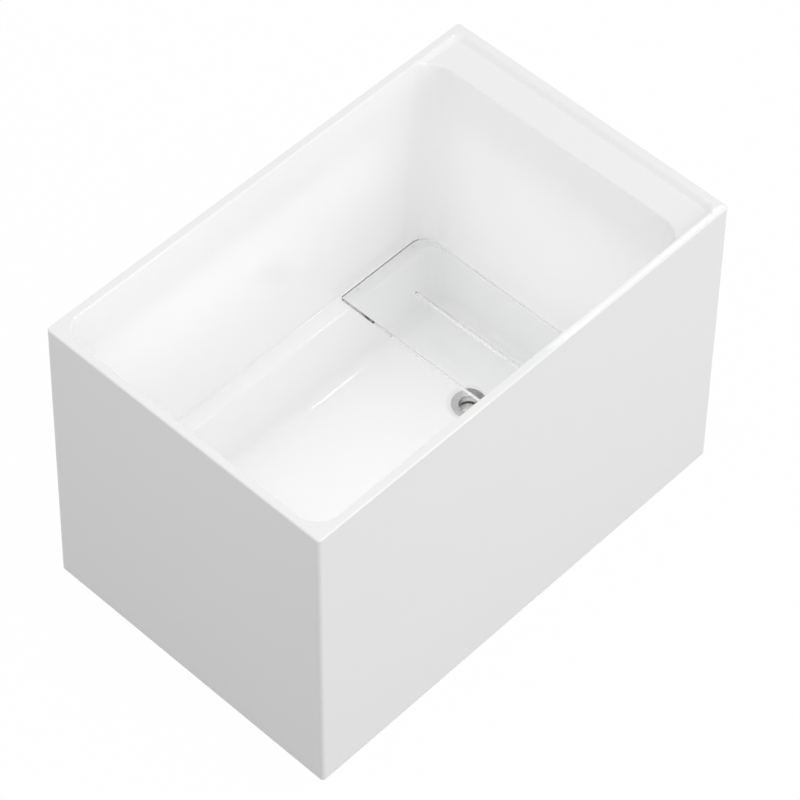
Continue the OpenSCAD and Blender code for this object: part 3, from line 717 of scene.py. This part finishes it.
def clear_material(finish):
    """Clear acrylic that lets the light through to what lies under it.

    Its two ends show as near-black lines where its top shows them from inside, and in the
    drain's reflection its underside is a painted dim plate, a painted darker reflection.
    """
    material = hazy_material(
        "clear_sheet", finish.clear, finish.clear_ior, scale=9.0, detail=3.0, low=0.0, high=0.02
    )
    tree, place, shader = opened(material)
    path = tree.nodes.new("ShaderNodeLightPath").outputs
    side = tree.nodes.new("ShaderNodeNewGeometry").outputs
    lit = calc(tree, "MAXIMUM", path["Is Shadow Ray"], path["Is Diffuse Ray"])
    outside = calc(tree, "SUBTRACT", 1.0, side["Backfacing"])
    under = calc(tree, "GREATER_THAN", path["Transmission Depth"], 0.5)
    # Painted darker reflection: glossy rays that meet the board's top from under it see a dim grey
    # plate.
    mirrored = chain(tree, "MULTIPLY", path["Is Glossy Ray"], outside, under)
    along = calc(tree, "ABSOLUTE", parts_of(tree, side["True Normal"])["Y"])
    facing = calc(tree, "GREATER_THAN", along, 0.9)
    middle, half_band = (SEAT_LOW.z + SEAT_HIGH.z) / 2, 0.0018
    band = calc(tree, "COMPARE", parts_of(tree, place)["Z"], middle, half_band)
    # Near-black lines along the board's two ends, where its top shows them from inside.
    ends = chain(tree, "MULTIPLY", facing, side["Backfacing"], band)
    surface = see_through(tree, ends, shader.outputs["BSDF"], finish.clear_ends)
    surface = see_through(tree, mirrored, surface, finish.clear_painted_reflection)
    show(tree, see_through(tree, lit, surface, finish.clear_shade))
    return material


def pad_material(finish):
    """Clear soft rubber with a slight haze."""
    material = hazy_material(
        "clear_pads", finish.pads, ior=1.4, scale=400.0, detail=2.0, low=0.05, high=0.25
    )
    tree, place, shader = opened(material)
    shader.inputs["Alpha"].default_value = 0.3
    lit = any_ray(tree, "Is Shadow Ray", "Is Diffuse Ray")
    show(tree, see_through(tree, lit, shader.outputs["BSDF"], WHITE))
    return material


def fibre_material(finish):
    """Glass strands in resin."""
    values = {"Resin": finish.resin, "Strand": finish.strand}
    return surface_material("laid_fibre", chopped_strands(), values, strength=0.6)


def wood_material(finish):
    """Plywood."""
    values = {"Pale": finish.wood, "Dark": finish.wood_dark}
    return surface_material("plywood", plywood_grain(), values, strength=0.25)


# Worked surfaces: finish colour, roughness, grain, patches, contrast, metallic, and the bump's
# strength and depth.
WORKED = {
    "frame_paint": ("paint", 0.3, 350.0, 12.0, 0.2, 0.0, 0.15, 0.0005),
    "zinc_plating": ("plating", 0.22, 1400.0, 120.0, 0.2, 1.0, 0.08, 0.0002),
    "zinc_thread": ("plating", 0.25, 1400.0, 120.0, 0.2, 1.0, 0.08, 0.0002),
    "turned_brass": ("brass", 0.2, 900.0, 60.0, 0.2, 1.0, 0.06, 0.0002),
    "seal_rubber": ("seal", 0.4, 1100.0, 25.0, 0.3, 0.0, 0.1, 0.0003),
    "soft_rubber": ("rubber", 0.6, 1100.0, 25.0, 0.5, 0.0, 0.2, 0.0003),
    "moulded_plastic": ("plastic", 0.25, 800.0, 25.0, 0.06, 0.0, 0.05, 0.0003),
}


def worked_material(finish, name):
    """Painted, plated, turned or moulded material of a hidden piece."""
    color, roughness, grain, patches, contrast, *rest = WORKED[name]
    values = {"Color": getattr(finish, color), "Roughness": roughness, "Grain": grain}
    values |= {"Patches": patches, "Contrast": contrast}
    return surface_material(name, worked_surface(), values, *rest)


def thread_material(finish):
    """Zinc plating with a fine thread round an upright stud."""
    material = worked_material(finish, "zinc_thread")
    tree, place, shader = opened(material)
    fine = shader.inputs["Normal"].links[0].from_socket
    pitch = 0.00175
    turns = tree.nodes.new("ShaderNodeTexWave")
    turns.bands_direction = "Z"
    turns.inputs["Scale"].default_value = WAVE_PER_METRE / pitch
    tree.links.new(place, turns.inputs["Vector"])
    thread = bump(tree, turns.outputs["Fac"], 0.8, 0.0006, shader)
    tree.links.new(fine, thread.inputs["Normal"])
    return material


def finish_nodes(material, slot, *only_nodes):
    """Gives the frame's nodes of a slot, or some of them, a material."""
    found = [
        part["node"]
        for part in frame["record"]["subparts"]
        if part["material_slot"] == slot and (not only_nodes or part["node"] in only_nodes)
    ]
    if not found:
        raise RuntimeError(f"no node has the slot {slot}")
    for node in found:
        for place in frame["nodes"][node].material_slots:
            place.material = material


# ---------------------------------------------------------------- pieces


class TUB_OT_basin(bpy.types.Operator):
    """Build the basin with its rim, deck, ledges and well"""

    bl_idname = "tub.basin"
    bl_label = "Basin"

    def execute(self, context):
        shape = context.scene.tub_shape
        basin = tapered_block(
            "basin", outline_at(RIM_Z), outline_at(BLOCK_FOOT_Z), 8, shape.outer_corner
        )
        top, foot = wall_outline(shape, RIM_Z + OVERCUT), wall_outline(shape, shape.ledge_z)
        upper = tapered_block("upper", top, foot, 18, shape.rim_corner)
        round_edges(upper, at_height(shape.ledge_z), shape.fold_round, 6)
        combine(quarter(basin), quarter(upper))
        top, foot = well_outline(shape, shape.ledge_z + OVERCUT), well_outline(shape, FLOOR_Z)
        well = tapered_block("well", top, foot, 12, shape.well_corner)
        round_edges(well, at_height(FLOOR_Z), shape.floor_round, 10)
        combine(basin, well)
        edit_all(basin)
        bpy.ops.mesh.remove_doubles(threshold=0.0003)
        done()
        underside = at_height(BLOCK_FOOT_Z)
        fold = math.radians(18)

        def is_fold(edge):
            return edge.calc_face_angle(0.0) > fold and not underside(edge)

        round_edges(basin, is_fold, shape.edge_round, 4)
        self.drain_hollow(basin, shape)
        self.sink_deck(basin, shape)
        self.open_back(basin, shape)
        finish_modifier(basin, "SOLIDIFY", thickness=shape.sheet, offset=-1.0)
        for vertex in basin.data.vertices:
            vertex.co.z = min(vertex.co.z, RIM_Z)
        smooth(basin)
        acrylic = acrylic_material(context.scene.tub_finish)
        dress(basin, acrylic, "white_acrylic", "tub", "basin_shell")
        return {"FINISHED"}

    def sink_deck(self, basin, shape):
        """Sinks the tap deck below the rim, with soft slopes on three sides."""
        run = shape.deck_slope + 2 * shape.deck_soft
        x1 = RIM_HALF.x - shape.deck_lip + shape.deck_soft
        y1 = RIM_HALF.y - shape.rim_width + shape.deck_soft
        past_corners = 1.2 * shape.rim_corner
        x0 = RIM_HALF.x - shape.deck_width - past_corners
        corner = shape.deck_corner + shape.deck_soft
        steps, margin = 20, 0.002
        reach = max(corner, run) + margin
        under_edge = 0.0005
        top = RIM_Z - shape.edge_round - under_edge

        def on_top(face):
            return all(v.co.z > top for v in face.verts) and any(v.co.x > x0 for v in face.verts)

        for normal, start in (((1, 0, 0), x1), ((0, -1, 0), y1), ((0, 1, 0), y1)):
            for i in range(steps + 1):
                pick(basin, "FACE", on_top)
                place = Vector(normal) * (start - reach * i / steps)
                bpy.ops.mesh.bisect(plane_co=place, plane_no=normal)
                done()
        lean = shape.end_lean / (RIM_Z - shape.ledge_z)
        for vertex in basin.data.vertices:
            place = vertex.co
            if place.z < top or place.x < x0:
                continue
            over_x = place.x - (x1 - corner)
            over_y = abs(place.y) - (y1 - corner)
            if over_x > 0 and over_y > 0:
                inside = corner - math.hypot(over_x, over_y)
            else:
                inside = corner - max(over_x, over_y)
            t = min(max(inside / run, 0.0), 1.0)
            ease = t * t * (3 - 2 * t)
            drop = shape.deck_drop * ease
            place.z -= drop
            place.x -= lean * drop

    def drain_hollow(self, basin, shape):
        """The shallow hollow that the drain flange lies in, and the hole in its bottom."""
        cone = primitive(
            "hollow",
            "cone",
            vertices=96,
            radius1=shape.hollow_flat,
            radius2=shape.hollow_r + (shape.hollow_r - shape.hollow_flat),
            depth=2 * shape.hollow_depth,
            location=(DRAIN_AXIS.x, DRAIN_AXIS.y, FLOOR_Z),
        )
        combine(basin, cone)
        bottom = FLOOR_Z - shape.hollow_depth
        slack = 2e-4

        def at_radius(edge, radius, z):
            return all(
                near((v.co.xy - DRAIN_AXIS.xy).length, radius, slack) and near(v.co.z, z, slack)
                for v in edge.verts
            )

        def is_edge(edge):
            outer = at_radius(edge, shape.hollow_r, FLOOR_Z)
            return outer or at_radius(edge, shape.hollow_flat, bottom)

        def is_bottom(face):
            return near(face.calc_center_median().z, bottom, 1e-4) and face.normal.z > 0.9

        round_edges(basin, is_edge, shape.hollow_round, 4)
        pick(basin, "FACE", is_bottom)
        bpy.ops.mesh.inset(thickness=shape.hollow_flat - shape.floor_hole)
        bpy.ops.mesh.delete(type="FACE")
        done()

    def open_back(self, basin, shape):
        """Takes the block's underside off and shortens its sides to the rim's outer edge."""
        remove_faces(basin, at_height(BLOCK_FOOT_Z))
        roll_z = RIM_Z - shape.roll_depth
        now, then = outline_at(BLOCK_FOOT_Z), outline_at(roll_z)
        taper(basin, BLOCK_FOOT_Z, (then[1] / now[1], then[2] / now[2]))
        shift(basin, BLOCK_FOOT_Z, (0.0, 0.0, roll_z - BLOCK_FOOT_Z))


class TUB_OT_skirt(bpy.types.Operator):
    """Build the one-piece skirt"""

    bl_idname = "tub.skirt"
    bl_label = "Skirt"

    def execute(self, context):
        shape = context.scene.tub_shape
        top_z, foot_z = RIM_Z - shape.roll_depth, SKIRT_LOW.z
        skirt = tapered_block(
            "skirt", outline_at(top_z), outline_at(foot_z), 8, shape.outer_corner
        )
        remove_faces(skirt, lambda f: at_height(top_z)(f) or at_height(foot_z)(f))
        finish_modifier(
            skirt, "SOLIDIFY", thickness=shape.sheet, offset=-1.0, use_even_offset=True
        )
        smooth(skirt)
        acrylic = acrylic_material(context.scene.tub_finish)
        dress(skirt, acrylic, "white_acrylic", "tub", "outer_skirt")
        return {"FINISHED"}


class TUB_OT_seat_board(bpy.types.Operator):
    """Build the clear seat board"""

    bl_idname = "tub.seat_board"
    bl_label = "Seat board"

    def execute(self, context):
        shape = context.scene.seat_shape
        board = block("clear_board", SEAT_LOW, SEAT_HIGH)
        middle = (SEAT_LOW.x + SEAT_HIGH.x) / 2

        def is_back(edge):
            return upright(edge) and edge.verts[0].co.x > middle

        def is_front(edge):
            return upright(edge) and edge.verts[0].co.x < middle

        round_edges(board, is_back, shape.back_corner, 16)
        round_edges(board, is_front, shape.front_corner, 5)
        x = SEAT_LOW.x + shape.slot_setback
        half_width = shape.slot_width / 2
        half_length = shape.slot_length / 2
        above = 0.005
        slot = block(
            "slot",
            (x - half_width, -half_length, SEAT_LOW.z - above),
            (x + half_width, half_length, SEAT_HIGH.z + above),
        )
        just_under_half = 0.999
        round_edges(slot, upright, just_under_half * half_width, 10)
        combine(board, slot)
        edit(board, "EDGE")
        bpy.ops.mesh.edges_select_sharp(sharpness=math.radians(50))
        bpy.ops.mesh.bevel(offset=shape.edge_round, segments=3, affect="EDGES", clamp_overlap=False)
        done()
        smooth(board)
        clear = clear_material(context.scene.tub_finish)
        dress(board, clear, "clear_acrylic", "seat", "seat_board")
        return {"FINISHED"}


class TUB_OT_drain(bpy.types.Operator):
    """Build the drain flange and the plug's cap"""

    bl_idname = "tub.drain"
    bl_label = "Drain"

    def execute(self, context):
        shape = context.scene.drain_shape
        outer = (DRAIN_HIGH.x - DRAIN_LOW.x) / 2
        top = DRAIN_HIGH.z
        edge, lip = 0.001, 0.004
        step, step_drop, dish = 0.001, 0.0003, 0.0012
        flange_under = top - 0.0025
        body = shape.throat_r + shape.body_wall
        seat_z = top - shape.seat_depth
        seat_in = shape.throat_r - shape.seat_width
        profile = [
            (shape.throat_r, DRAIN_LOW.z),
            (body, DRAIN_LOW.z),
            (body, flange_under),
            (outer, flange_under),
        ]
        profile += arc((outer - edge, top - edge), edge, 0, 90, 4)
        profile += [(outer - shape.land, top), (outer - shape.land - step, top - step_drop)]
        profile += arc((shape.throat_r + lip, top - dish - lip), lip, 90, 180, 6)
        profile += [
            (shape.throat_r, seat_z),
            (seat_in, seat_z),
            (seat_in, seat_z - shape.seat_ring),
            (shape.throat_r, seat_z - shape.seat_ring),
        ]
        flange = lathe("drain_flange", profile, shape.steps)
        self.bridge(flange, shape)
        smooth(flange, 35, False)
        metal = metal_material(context.scene.tub_finish)
        dress(flange, metal, "polished_metal", "tub", "drain_body")
        self.cap(shape, metal)
        return {"FINISHED"}

    def bridge(self, flange, shape):
        """The hub on three arms that holds the latch housing."""
        top = LATCH_TOP - shape.bridge_set
        foot = top - shape.bridge_height
        bore = shape.hub_bore
        wall = bore + shape.hub_wall
        ease, bite, inset = 0.0006, 0.001, 0.0002
        profile = [(bore, foot), (wall - ease, foot), (wall, foot + ease), (wall, top - ease)]
        profile += [(wall - ease, top), (bore, top)]
        hub = lathe("hub", profile, 48)
        x, y, _ = DRAIN_AXIS
        half = shape.arm_width / 2
        for angle in (0, -120, -240):
            arm = block(
                "arm",
                (x + bore + bite, y - half, foot + inset),
                (x + shape.throat_r + bite, y + half, top - inset),
            )
            edit_all(arm)
            bpy.ops.transform.rotate(
                value=math.radians(angle), orient_axis="Z", center_override=(x, y, 0.0)
            )
            done()
            combine(hub, arm, "UNION")
        combine(flange, hub, "UNION")

    def cap(self, shape, metal):
        """The plug's domed cap, with the boss under it that carries the seal."""
        radius = (CAP_HIGH.x - CAP_LOW.x) / 2
        crown, edge = 0.0025, 0.0008
        top, under = CAP_HIGH.z, CAP_LOW.z
        shoulder = top - crown
        boss, seat_z = radius - 0.004, under + 0.002
        dome = (radius * radius + crown * crown) / (2 * crown)
        reach = math.degrees(math.asin((radius - edge) / dome))
        profile = [(0.0, under), (boss, under), (boss, seat_z)]
        profile += [(radius, seat_z), (radius, shoulder - edge)]
        profile += arc((0.0, top - dome), dome, 90 - reach, 90, 10)
        cap = lathe("plug_cap_dome", profile, shape.steps)
        smooth(cap, 35, False)
        dress(cap, metal, "polished_metal", "plug", "plug_cap")


class TUB_OT_backing(bpy.types.Operator):
    """Finish the glass fibre and the boards behind the acrylic"""

    bl_idname = "tub.backing"
    bl_label = "Backing"

    def execute(self, context):
        finish = context.scene.tub_finish
        finish_nodes(fibre_material(finish), "glass_fibre")
        finish_nodes(wood_material(finish), "timber")
        return {"FINISHED"}


class TUB_OT_frame(bpy.types.Operator):
    """Finish the steel frame, its fixings, the feet and all rubber"""

    bl_idname = "tub.frame"
    bl_label = "Frame and feet"

    def execute(self, context):
        finish = context.scene.tub_finish
        studs = [f"foot_stud_{number}" for number in range(1, 5)]
        finish_nodes(worked_material(finish, "frame_paint"), "coated_steel")
        finish_nodes(worked_material(finish, "zinc_plating"), "zinc")
        finish_nodes(thread_material(finish), "zinc", *studs)
        finish_nodes(worked_material(finish, "soft_rubber"), "black_rubber")
        finish_nodes(worked_material(finish, "seal_rubber"), "black_rubber", "plug_seal")
        return {"FINISHED"}


class TUB_OT_fittings(bpy.types.Operator):
    """Finish the fittings of the drain and the pads of the seat board"""

    bl_idname = "tub.fittings"
    bl_label = "Fittings"

    def execute(self, context):
        finish = context.scene.tub_finish
        finish_nodes(worked_material(finish, "turned_brass"), "raw_brass")
        finish_nodes(worked_material(finish, "moulded_plastic"), "white_plastic")
        finish_nodes(pad_material(finish), "clear_rubber")
        return {"FINISHED"}


class TUB_OT_stage(bpy.types.Operator):
    """Place the floor, the lights and the camera"""

    bl_idname = "tub.stage"
    bl_label = "Stage"

    def execute(self, context):
        scene = context.scene
        scene.view_settings.view_transform = "Standard"
        scene.cycles.max_bounces = 32
        scene.cycles.diffuse_bounces = 16
        scene.cycles.glossy_bounces = 28
        scene.cycles.transmission_bounces = 28
        self.floor()
        self.world(scene)
        for settings in LAMPS:
            self.lamp(scene, *settings)
        self.camera(scene)
        return {"FINISHED"}

    def floor(self):
        """A floor that shows white with the tub's shadow, and throws little light back."""
        floor = primitive("floor", "plane", size=FLOOR_SIZE)
        material = bpy.data.materials.new("floor_white")
        material.use_nodes = True
        tree = material.node_tree
        shader = tree.nodes["Principled BSDF"]
        shader.inputs["Roughness"].default_value = 0.9
        shader.inputs["Specular IOR Level"].default_value = 0.0
        seen = seen_directly(tree)
        feed(tree, shader.inputs["Base Color"], mixed(tree, seen, FLOOR_GREY, FLOOR_SEEN))
        glow = tree.nodes.new("ShaderNodeEmission").outputs["Emission"]
        part = calc(tree, "MULTIPLY", seen, FLOOR_GLOW)
        show(tree, either(tree, part, shader.outputs["BSDF"], glow))
        floor.data.materials.append(material)

    def world(self, scene):
        """An even light, white where it is seen."""
        world = bpy.data.worlds.new("studio")
        scene.world = world
        world.use_nodes = True
        tree = world.node_tree
        light = tree.nodes["Background"]
        white = tree.nodes.new("ShaderNodeBackground")
        for node, strength in ((light, SKY_LIGHT), (white, 1.0)):
            feed(tree, node.inputs["Color"], WHITE)
            node.inputs["Strength"].default_value = strength
        shown = either(tree, seen_directly(tree), light.outputs[0], white.outputs[0])
        tree.links.new(shown, tree.nodes["World Output"].inputs["Surface"])

    def lamp(self, scene, name, place, target, width, depth, watts, unseen_by):
        """A soft flat light that faces a point."""
        data = bpy.data.lights.new(name, "AREA")
        data.shape = "RECTANGLE"
        data.size = width
        data.size_y = depth
        data.energy = watts
        obj = bpy.data.objects.new(name, data)
        scene.collection.objects.link(obj)
        obj.location = place
        obj.rotation_euler = (Vector(target) - Vector(place)).to_track_quat("-Z", "Y").to_euler()
        for ray in unseen_by:
            setattr(obj, f"visible_{ray}", False)

    def camera(self, scene):
        """A camera that looks down over the front corner of the tub's plain end."""
        data = bpy.data.cameras.new("camera")
        camera = bpy.data.objects.new("camera", data)
        scene.collection.objects.link(camera)
        data.sensor_width = 36.0
        data.lens = LENS
        camera.matrix_world = (
            Matrix.Translation(TARGET)
            @ Matrix.Rotation(math.radians(BEARING), 4, "Z")
            @ Matrix.Rotation(math.radians(90 - ELEVATION), 4, "X")
            @ Matrix.Translation((0.0, 0.0, DISTANCE))
            @ Matrix.Rotation(math.radians(ROLL), 4, "Z")
        )
        scene.camera = camera


class TUB_PT_panel(bpy.types.Panel):
    """Lists the tub's pieces in the sidebar"""

    bl_idname = "TUB_PT_panel"
    bl_label = "Soaking Tub"
    bl_space_type = "VIEW_3D"
    bl_region_type = "UI"
    bl_category = "Tub"

    def draw(self, context):
        for operator in OPERATORS:
            self.layout.operator(operator.bl_idname)


SETTINGS = {
    "tub_shape": TubShape,
    "seat_shape": SeatShape,
    "drain_shape": DrainShape,
    "tub_finish": TubFinish,
}
OPERATORS = (
    TUB_OT_basin, TUB_OT_skirt, TUB_OT_seat_board, TUB_OT_drain,
    TUB_OT_backing, TUB_OT_frame, TUB_OT_fittings, TUB_OT_stage,
)
CLASSES = (*SETTINGS.values(), *OPERATORS, TUB_PT_panel)


def register():
    """Registers the classes and gives the scene its settings."""
    for cls in CLASSES:
        bpy.utils.register_class(cls)
    for name, group in SETTINGS.items():
        setattr(bpy.types.Scene, name, PointerProperty(type=group))


def unregister():
    """Takes the settings and the classes away again."""
    for name in SETTINGS:
        delattr(bpy.types.Scene, name)
    for cls in reversed(CLASSES):
        bpy.utils.unregister_class(cls)


def main():
    register()
    for operator in OPERATORS:
        getattr(bpy.ops.tub, operator.bl_idname.removeprefix("tub."))()


if __name__ == "__main__":
    main()
